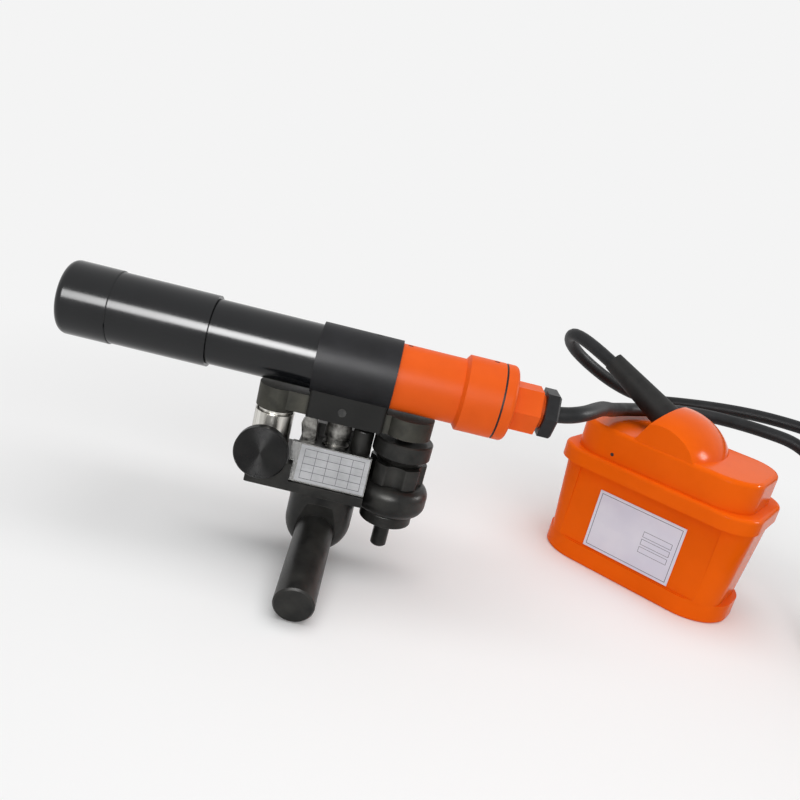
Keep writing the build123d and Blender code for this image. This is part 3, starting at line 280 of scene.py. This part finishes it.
# Patches: two tones in soft cloudy patches, as a surface picks up from
# handling, and a fine grain for its sheen and relief.
patches, given, wanted = add_group(
    "patches",
    [
        ("Dark", "Color", (0, 0, 0, 1)),
        ("Light", "Color", (1, 1, 1, 1)),
        ("Scale", "Float", 40.0),
        ("Grain", "Float", 900.0),
        ("Smooth", "Float", 0.3),
        ("Rough", "Float", 0.4),
    ],
    [("Color", "Color"), ("Sheen", "Float"), ("Height", "Float")],
)
place = add_node(patches, "TexCoord").outputs["Object"]
cloud = add_node(
    patches, "TexNoise", Vector=place, Scale=given["Scale"], Detail=4.0, Roughness=0.6
).outputs["Fac"]
speck = add_node(
    patches, "TexNoise", Vector=place, Scale=given["Grain"], Detail=3.0, Roughness=0.5
).outputs["Fac"]
patch = add_node(patches, "MapRange", Value=cloud, From_Min=0.32, From_Max=0.68).outputs["Result"]
fleck = add_node(
    patches, "MapRange", Value=speck, From_Min=0.3, From_Max=0.7, To_Min=-0.35, To_Max=0.35
).outputs["Result"]
total = reckon(patches, "ADD", patch, fleck)
sheen = add_node(
    patches, "MapRange", Value=total, To_Min=given["Smooth"], To_Max=given["Rough"]
).outputs["Result"]
patches.links.new(mix_tone(patches, patch, given["Dark"], given["Light"]), wanted["Color"])
patches.links.new(sheen, wanted["Sheen"])
patches.links.new(speck, wanted["Height"])


def cloudy(
    name, dark, light, scale, smooth, rough, grain=900.0, depth=0.0, metallic=0.0, gloss=0.5
):
    """A finish in two cloudy tones, with a sheen between smooth and rough."""
    material = finish(name, smooth, metallic, gloss=gloss)
    tree, shader = insides(material)
    look = use_group(
        tree,
        patches,
        Dark=(*dark, 1),
        Light=(*light, 1),
        Scale=scale,
        Grain=grain,
        Smooth=smooth,
        Rough=rough,
    )
    tree.links.new(look["Color"], shader.inputs["Base Color"])
    tree.links.new(look["Sheen"], shader.inputs["Roughness"])
    if depth:
        stipple(tree, shader, look["Height"], depth)
    return material


# Rubber of the cable: extruded, black and satin. The seals of the tail's cap
# and of its gland are cut from like rubber.
rubber = cloudy(
    "rubber",
    dark=(0.006, 0.0065, 0.007),
    light=(0.014, 0.0145, 0.016),
    scale=60.0,
    smooth=0.4,
    rough=0.52,
    grain=1500.0,
    depth=0.000005,
    gloss=0.25,
)
for piece in (cable, cable_stub):
    piece.data.materials.append(rubber)
dress(rubber, "cap_seal", "gland_seal")

# Cable boot: black rubber sleeve, moulded on the cable and pushed into the
# mouth of the lid's hood.
sleeve = cloudy(
    "moulded rubber",
    dark=(0.010, 0.010, 0.010),
    light=(0.021, 0.021, 0.020),
    scale=90.0,
    smooth=0.5,
    rough=0.66,
    grain=1200.0,
    depth=0.0001,
    gloss=0.2,
)
dress(sleeve, "cable_boot")

# Coil tie and gland nut: black nylon. The strap holds the spare cable together,
# and the moulded hexagonal nut clamps the cable in the gland.
nylon = cloudy(
    "black nylon",
    dark=(0.008, 0.008, 0.009),
    light=(0.015, 0.015, 0.017),
    scale=80.0,
    smooth=0.34,
    rough=0.44,
    depth=0.00004,
    gloss=0.2,
)
dress(nylon, "coil_tie", "gland_nut")

# Steel mount: rod, ball-ended boss, casting and screw pieces, turned and milled
# from steel and blacked in hot oil, with a faint olive cast and bare worn edges.


def reckon_vector(tree, operation, *values):
    """One sum on vectors; gives back a Vector and a Value."""
    node = tree.nodes.new("ShaderNodeVectorMath")
    node.operation = operation
    for socket, value in zip(node.inputs, values):
        feed(tree, value, socket)
    return node.outputs


wear, given, wanted = add_group(
    "worn edges",
    [
        ("Width", "Float", 0.0008),
        ("Color", "Color", (0, 0, 0, 1)),
        ("Bare", "Color", (1, 1, 1, 1)),
        ("Amount", "Float", 0.5),
    ],
    [("Color", "Color")],
)
rounded = wear.nodes.new("ShaderNodeBevel")
rounded.samples = 6
wear.links.new(given["Width"], rounded.inputs["Radius"])
flat = add_node(wear, "NewGeometry").outputs["Normal"]
turned = reckon_vector(wear, "DOT_PRODUCT", rounded.outputs["Normal"], flat)["Value"]
place = add_node(wear, "TexCoord").outputs["Object"]
rub = add_node(wear, "TexNoise", Vector=place, Scale=140.0, Detail=4.0).outputs["Fac"]
edge = add_node(wear, "MapRange", Value=turned, From_Min=0.97, From_Max=0.80).outputs["Result"]
some = add_node(wear, "MapRange", Value=rub, From_Min=0.38, From_Max=0.62).outputs["Result"]
worn = reckon(wear, "MULTIPLY", reckon(wear, "MULTIPLY", edge, some), given["Amount"])
wear.links.new(mix_tone(wear, worn, given["Color"], given["Bare"]), wanted["Color"])


def blacked(name, dark, light, smooth, rough, depth=0.00002, metallic=0.3, gloss=0.3):
    """Blacked steel with worn edges."""
    material = cloudy(
        name, dark, light, 48.0, smooth, rough, depth=depth, metallic=metallic, gloss=gloss
    )
    tree, shader = insides(material)
    color = shader.inputs["Base Color"].links[0].from_socket
    look = use_group(tree, wear, Color=color, Bare=(0.11, 0.105, 0.095, 1), Amount=0.5)
    tree.links.new(look["Color"], shader.inputs["Base Color"])
    return material


oxide = blacked(
    "black oxide",
    dark=(0.007, 0.007, 0.0068),
    light=(0.029, 0.0283, 0.0255),
    smooth=0.3,
    rough=0.46,
)
dress(
    oxide,
    "mounting_rod",
    "turning_boss",
    "tangent_arm",
    "swivel_bar",
    "stop_post_right",
    "jack_screw",
    "elevation_handwheel",
    "lock_ring",
    "retaining_collar",
)

# Cradle arm: milled steel bar, blacked; the saddle foot between its two round pads is near black,
# and the pads are greyer.
foot_middle, foot_half, foot_fade = 0.0027, 0.0265, 0.0295
foot_black = (0.010, 0.010, 0.0095, 1)
greyed = blacked(
    "thin black oxide",
    dark=(0.025, 0.025, 0.0215),
    light=(0.060, 0.058, 0.047),
    smooth=0.42,
    rough=0.58,
    metallic=0.4,
    gloss=0.2,
)
tree, shader = insides(greyed)
place = add_node(tree, "TexCoord").outputs["Object"]
along = add_node(tree, "SeparateXYZ", Vector=place).outputs["X"]
from_middle = reckon(tree, "ABSOLUTE", reckon(tree, "SUBTRACT", along, foot_middle))
# Near black across the middle of the saddle foot, turning to the arm's grey out towards the two
# pads.
toward_pads = add_node(
    tree, "MapRange", Value=from_middle, From_Min=foot_half, From_Max=foot_fade
).outputs["Result"]
grey = shader.inputs["Base Color"].links[0].from_socket
tree.links.new(mix_tone(tree, toward_pads, foot_black, grey), shader.inputs["Base Color"])
dress(greyed, "cradle_arm")

# Posts on the casting: the pivot post and the leaning stop lug are bare steel,
# dull, and bright where they are rubbed.
posts = cloudy(
    "worn steel",
    dark=(0.035, 0.034, 0.031),
    light=(0.26, 0.255, 0.24),
    scale=150.0,
    smooth=0.26,
    rough=0.46,
    depth=0.00003,
    metallic=1.0,
)
dress(posts, "pivot_post", "stop_post_left")

# Azimuth knob: steel disc, faced on a lathe and blacked; its fine rings draw
# the light out into two fans.
turning, given, wanted = add_group(
    "turning lines",
    [
        ("Centre", "Vector", (0, 0, 0)),
        ("Axis", "Vector", (0, 0, 1)),
        ("Pitch", "Float", 3000.0),
    ],
    [("Height", "Float")],
)
place = add_node(turning, "TexCoord").outputs["Object"]
arm = reckon_vector(turning, "SUBTRACT", place, given["Centre"])["Vector"]
along = reckon_vector(turning, "DOT_PRODUCT", arm, given["Axis"])["Value"]
spoke = reckon_vector(turning, "CROSS_PRODUCT", arm, given["Axis"])["Vector"]
reach = reckon_vector(turning, "LENGTH", spoke)["Value"]
groove = turning.nodes.new("ShaderNodeTexNoise")
groove.noise_dimensions = "1D"
feed(turning, reckon(turning, "ADD", along, reach), groove.inputs["W"])
feed(turning, given["Pitch"], groove.inputs["Scale"])
feed(turning, 3.0, groove.inputs["Detail"])
turning.links.new(groove.outputs["Fac"], wanted["Height"])

knob_low, knob_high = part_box("azimuth_knob")
knob_centre = (knob_low + knob_high) / 2
knob = blacked(
    "faced black steel",
    dark=(0.016, 0.016, 0.0165),
    light=(0.027, 0.027, 0.0265),
    smooth=0.26,
    rough=0.34,
    depth=0.0,
    metallic=0.85,
)
tree, shader = insides(knob)
rings = use_group(tree, turning, Centre=knob_centre, Axis=(0, -1, 0), Pitch=2600.0)
stipple(tree, shader, rings["Height"], 0.00001)
shader.inputs["Anisotropic"].default_value = 0.96
shader.inputs["Anisotropic Rotation"].default_value = 0.25
swirl = tree.nodes.new("ShaderNodeTangent")
swirl.direction_type = "RADIAL"
swirl.axis = "Y"
tree.links.new(swirl.outputs["Tangent"], shader.inputs["Tangent"])
dress(knob, "azimuth_knob")

# Spring tower: turned steel barrel, drawn bright along its length, with the
# counter spring and its cup inside.


def two_tones(tree, value, low, dark, high, light):
    """A colour that runs from a dark to a light tone as a value rises."""
    ramp = tree.nodes.new("ShaderNodeValToRGB")
    first, last = ramp.color_ramp.elements
    first.position, first.color = low, (*dark, 1)
    last.position, last.color = high, (*light, 1)
    tree.links.new(value, ramp.inputs["Fac"])
    return ramp.outputs["Color"]


tower = finish("drawn steel", 0.32, metallic=1.0)
tree, shader = insides(tower)
place = add_node(tree, "TexCoord").outputs["Object"]
stretch = add_node(tree, "Mapping", Vector=place, Scale=(260.0, 260.0, 9.0)).outputs["Vector"]
drawn = add_node(tree, "TexNoise", Vector=stretch, Scale=1.0, Detail=5.0).outputs["Fac"]
streak = two_tones(
    tree, drawn, low=0.34, dark=(0.34, 0.33, 0.30), high=0.66, light=(0.80, 0.785, 0.74)
)
keen = add_node(
    tree, "MapRange", Value=drawn, From_Min=0.3, From_Max=0.7, To_Min=0.24, To_Max=0.42
).outputs["Result"]
tree.links.new(streak, shader.inputs["Base Color"])
tree.links.new(keen, shader.inputs["Roughness"])
stipple(tree, shader, drawn, 0.00003)
dress(tower, "spring_tower", "spring_cup")

# Counter spring: oiled spring wire, wound between the tower's seat and the cup,
# where it gives as the cradle tilts. The azimuth screw is bare steel too.
spring_low, spring_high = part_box("pressure_spring")
wire_d, spring_turns = 0.002, 2.5
spring_axis = (spring_low + spring_high) / 2
spring_r = (spring_high.x - spring_low.x - wire_d) / 2
spring_rise = spring_high.z - spring_low.z - wire_d
spring_path = []
for i in range(int(turn_steps * spring_turns) + 1):
    a = 2 * math.pi * i / turn_steps
    x = spring_axis.x + spring_r * math.cos(a)
    y = spring_axis.y + spring_r * math.sin(a)
    z = spring_low.z + wire_d / 2 + spring_rise * i / (turn_steps * spring_turns)
    spring_path.append((x, y, z))
counter_spring = round_tube("counter_spring", spring_path, wire_d)
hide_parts("pressure_spring")
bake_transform(counter_spring)
bright = cloudy(
    "oiled steel",
    dark=(0.36, 0.355, 0.34),
    light=(0.55, 0.545, 0.52),
    scale=120.0,
    smooth=0.22,
    rough=0.38,
    metallic=1.0,
)
dress(bright, "azimuth_screw")
counter_spring.data.materials.append(bright)

# Zinc-plated pieces: the collar's bolts, the spindle's washer and screw, and
# the azimuth screw's retainer, turned or stamped from steel.
zinc = cloudy(
    "zinc plate",
    dark=(0.16, 0.16, 0.16),
    light=(0.30, 0.30, 0.295),
    scale=110.0,
    smooth=0.34,
    rough=0.52,
    depth=0.00002,
    metallic=1.0,
)
dress(zinc, "collar_bolts", "screw_retainer", "retainer_washer", "retainer_screw")

# Blacked screws: the tube's set screws, the lid's screw and the trunnion pin,
# small pieces turned from steel and blacked.
screws = cloudy(
    "blacked screws",
    dark=(0.012, 0.012, 0.012),
    light=(0.04, 0.04, 0.038),
    scale=300.0,
    smooth=0.4,
    rough=0.55,
    metallic=0.5,
)
dress(screws, "set_screws", "lid_screw", "trunnion_pin")

# Nameplate: satin aluminium sheet on the sloping wall, brushed along its length
# and smudged from handling, with a ruled table whose fields are blank.
table_low, table_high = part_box("nameplate")
table_centre = (table_low + table_high) / 2
table_half = (table_high - table_low) / 2
table_rows, row_half = (-0.6, -0.2, 0.2, 0.6), 0.2
field_halves = (0.86, 0.52, 0.18)
rule_width = 0.0004


def frame_line(tree, x, y, middle, half, thickness):
    """A mask for the outline of an upright box round a middle."""
    past = []
    for value, centre, reach in zip((x, y), middle, half):
        away = reckon(tree, "ABSOLUTE", reckon(tree, "SUBTRACT", value, centre))
        past.append(reckon(tree, "SUBTRACT", away, reach))
    edge = reckon(tree, "ABSOLUTE", reckon(tree, "MAXIMUM", *past))
    return reckon(tree, "LESS_THAN", edge, thickness / 2)


silver = finish("brushed plate", 0.5, gloss=0.2)
tree, shader = insides(silver)
place = add_node(tree, "TexCoord").outputs["Object"]
stretch = add_node(tree, "Mapping", Vector=place, Scale=(40.0, 900.0, 900.0)).outputs["Vector"]
brush = add_node(tree, "TexNoise", Vector=stretch, Scale=1.0, Detail=4.0).outputs["Fac"]
smudge = add_node(tree, "TexNoise", Vector=place, Scale=90.0, Detail=3.0).outputs["Fac"]
mixed = reckon(tree, "MULTIPLY_ADD", brush, 0.45, smudge)
sheet = two_tones(
    tree, mixed, low=0.52, dark=(0.335, 0.34, 0.35), high=0.92, light=(0.47, 0.475, 0.49)
)
fields = add_node(tree, "SeparateXYZ", Vector=place).outputs
ink = None
for row in table_rows:
    middle = (table_centre.x, table_centre.z + row * table_half.z)
    for half in field_halves:
        box = (half * table_half.x, row_half * table_half.z)
        ruled = frame_line(tree, fields["X"], fields["Z"], middle, box, rule_width)
        ink = reckon(tree, "MAXIMUM", ink, ruled) if ink else ruled
etched = mix_tone(tree, ink, sheet, (0.10, 0.10, 0.11, 1))
keen = add_node(
    tree, "MapRange", Value=brush, From_Min=0.3, From_Max=0.7, To_Min=0.46, To_Max=0.62
).outputs["Result"]
tree.links.new(etched, shader.inputs["Base Color"])
tree.links.new(keen, shader.inputs["Roughness"])
stipple(tree, shader, brush, 0.00001)
dress(silver, "nameplate")

# Laser tube: turned aluminium, black anodised and glossy, in three lengths
# that screw together; the front length turns to focus the beam.
anodised = cloudy(
    "black anodised",
    dark=(0.0040, 0.0045, 0.0055),
    light=(0.0065, 0.0070, 0.0080),
    scale=25.0,
    smooth=0.16,
    rough=0.20,
    grain=500.0,
    gloss=0.38,
)
tree, shader = insides(anodised)
rings = use_group(tree, turning, Centre=(0, axis_y, tube_z), Axis=(1, 0, 0), Pitch=1800.0)
stipple(tree, shader, rings["Height"], 0.000002)
dress(anodised, "front_ring", "front_barrel", "mid_tube")

# Tube collar: black anodised clamp round the tube, blasted matt. The lens cell
# and the laser module's rings, inside the tube, have the same finish.
matt = cloudy(
    "blasted black",
    dark=(0.008, 0.008, 0.009),
    light=(0.014, 0.014, 0.016),
    scale=40.0,
    smooth=0.42,
    rough=0.52,
    grain=2200.0,
    depth=0.00004,
    gloss=0.2,
)
dress(matt, "tube_collar", "lens_cell", "module_rings")

# Rear housing, cap and gland: turned aluminium, sprayed with glossy orange
# paint that has a slight peel.
paint = cloudy(
    "orange paint",
    dark=(0.75, 0.098, 0.007),
    light=(0.81, 0.112, 0.009),
    scale=30.0,
    smooth=0.38,
    rough=0.5,
    grain=420.0,
    depth=0.00002,
    gloss=0.1,
)
dress(paint, "rear_housing", "rear_cap", "gland_body")

# Optics: coated front window and lens, the brass laser module and its driver
# board, all inside the tube.
glass = finish("coated glass", 0.03, color=(0.86, 0.92, 0.97))
shader = insides(glass)[1]
shader.inputs["Transmission Weight"].default_value = 1.0
shader.inputs["IOR"].default_value = 1.5
dress(glass, "front_window", "objective_lens")
brass = cloudy(
    "turned brass",
    dark=(0.50, 0.34, 0.12),
    light=(0.66, 0.47, 0.19),
    scale=90.0,
    smooth=0.24,
    rough=0.4,
    metallic=1.0,
)
dress(brass, "laser_module")
board = cloudy(
    "green board",
    dark=(0.012, 0.10, 0.035),
    light=(0.02, 0.18, 0.06),
    scale=260.0,
    smooth=0.34,
    rough=0.5,
    depth=0.00003,
)
dress(board, "driver_board")

# Battery box: case, lid and the gasket between them, moulded in orange plastic,
# glossy from the mould, with faint flow marks.
plastic = cloudy(
    "orange plastic",
    dark=(0.80, 0.110, 0.0030),
    light=(0.87, 0.126, 0.0045),
    scale=16.0,
    smooth=0.12,
    rough=0.18,
    grain=700.0,
    depth=0.000012,
    gloss=0.025,
)
dress(plastic, "battery_case", "battery_lid", "lid_gasket")

# Battery cells: round cells in thin blue sleeves, which stand on the floor of
# the case under the lid.
cell = cloudy(
    "cell sleeve",
    dark=(0.10, 0.11, 0.22),
    light=(0.16, 0.18, 0.32),
    scale=70.0,
    smooth=0.28,
    rough=0.4,
)
dress(cell, "battery_cells")

# Battery nameplate: white printed film, its fields left blank, with only a
# fine frame near its edge and three ruled boxes.
plate_low, plate_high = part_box("battery_nameplate")
plate_centre = (plate_low + plate_high) / 2
edge_half, edge_width = (0.0365, 0.0240), 0.0005
box_x, box_heights, box_half = 0.0200, (0.0065, -0.0005, -0.0075), (0.0125, 0.0024)
film = finish("white film", 0.34)
tree, shader = insides(film)
place = add_node(tree, "TexCoord").outputs["Object"]
offset = reckon_vector(tree, "SUBTRACT", place, plate_centre)["Vector"]
square = add_node(tree, "Mapping", Vector=offset, Rotation=(0, 0, -box_turn)).outputs["Vector"]
fields = add_node(tree, "SeparateXYZ", Vector=square).outputs
ink = frame_line(tree, fields["X"], fields["Z"], (0, 0), edge_half, edge_width)
for height in box_heights:
    ruled = frame_line(tree, fields["X"], fields["Z"], (box_x, height), box_half, rule_width)
    ink = reckon(tree, "MAXIMUM", ink, ruled)
haze = add_node(tree, "TexNoise", Vector=place, Scale=35.0, Detail=3.0).outputs["Fac"]
paper = two_tones(
    tree, haze, low=0.35, dark=(0.66, 0.65, 0.75), high=0.65, light=(0.73, 0.72, 0.80)
)
printed = mix_tone(tree, ink, paper, (0.10, 0.10, 0.14, 1))
tree.links.new(printed, shader.inputs["Base Color"])
dress(film, "battery_nameplate")

# Stage: pale floor that fades into an even pale background. It keeps the
# object's shadow and shows in metal and glass.
backdrop = (0.905, 0.905, 0.905, 1)
floor_size = 60
to_middle, fade_near, fade_far = (-0.12, -0.06, 0), 0.24, 0.7


def seen_straight(tree):
    """A mask for what the camera, a gloss or a glass sees."""
    rays = add_node(tree, "LightPath").outputs
    seen = reckon(tree, "MAXIMUM", rays["Is Camera Ray"], rays["Is Glossy Ray"])
    return reckon(tree, "MAXIMUM", seen, rays["Is Transmission Ray"])


bpy.ops.object.select_all(action="DESELECT")
bpy.ops.mesh.primitive_plane_add(size=floor_size, location=(0, 0, floor_z))
floor = bpy.context.object
floor.name = "floor"
pale = finish("pale floor", 0.9, color=(0.94, 0.94, 0.94), gloss=0.0)
tree, shader = insides(pale)
glow = add_node(tree, "Emission", Color=backdrop, Strength=1.0)
spot = add_node(tree, "NewGeometry").outputs["Position"]
from_middle = add_node(tree, "Mapping", Vector=spot, Location=to_middle).outputs["Vector"]
away = reckon_vector(tree, "LENGTH", from_middle)["Value"]
fade = add_node(tree, "MapRange", Value=away, From_Min=fade_near, From_Max=fade_far)
fade.interpolation_type = "SMOOTHSTEP"
share = reckon(tree, "MULTIPLY", seen_straight(tree), fade.outputs["Result"])
surface = add_node(tree, "MixShader", Fac=share)
tree.links.new(shader.outputs["BSDF"], surface.inputs[1])
tree.links.new(glow.outputs["Emission"], surface.inputs[2])
tree.links.new(surface.outputs["Shader"], tree.nodes["Material Output"].inputs["Surface"])
floor.data.materials.append(pale)

world = bpy.data.worlds.new("studio")
world.use_nodes = True
bpy.context.scene.world = world
tree = world.node_tree
sky = tree.nodes["Background"]
level = add_node(tree, "MapRange", Value=seen_straight(tree), To_Min=0.5, To_Max=1.0)
feed(tree, backdrop, sky.inputs["Color"])
feed(tree, level.outputs["Result"], sky.inputs["Strength"])

# Lights: wide soft boxes above and in front light all the pieces. A strip
# behind a grid draws the streak along the tube, and a small box at the right
# the spot on the hood; these two show in gloss alone.


def softbox(name, spot, aim, width, depth, power, diffuse=True, glossy=True, spread=180):
    """A flat soft light at a spot, turned to an aim, and what it shows in."""
    bpy.ops.object.light_add(type="AREA", location=spot)
    lamp = bpy.context.object
    lamp.name = name
    lamp.data.shape = "RECTANGLE"
    lamp.data.size = width
    lamp.data.size_y = depth
    lamp.data.energy = power
    lamp.data.spread = math.radians(spread)
    lamp.rotation_euler = (Vector(aim) - Vector(spot)).to_track_quat("-Z", "Y").to_euler()
    lamp.visible_diffuse = diffuse
    lamp.visible_glossy = glossy


softbox(
    "top light",
    spot=(0.1, -0.05, 1.35),
    aim=(0.1, 0.05, 0.0),
    width=1.5,
    depth=1.2,
    power=10.5,
    glossy=False,
)
softbox(
    "front light",
    spot=(0.15, -1.3, 0.75),
    aim=(0.1, 0.05, 0.05),
    width=1.4,
    depth=0.9,
    power=6,
    glossy=False,
)
softbox(
    "strip light",
    spot=(-0.31, -0.85, 0.43),
    aim=(-0.234, 0.02, 0.12),
    width=0.85,
    depth=0.36,
    power=2.7,
    diffuse=False,
    spread=56,
)
softbox(
    "side light",
    spot=(1.08, 0.18, 0.48),
    aim=(0.29, 0.08, 0.10),
    width=0.16,
    depth=0.16,
    power=4,
    diffuse=False,
)

bpy.context.scene.view_settings.view_transform = "Standard"
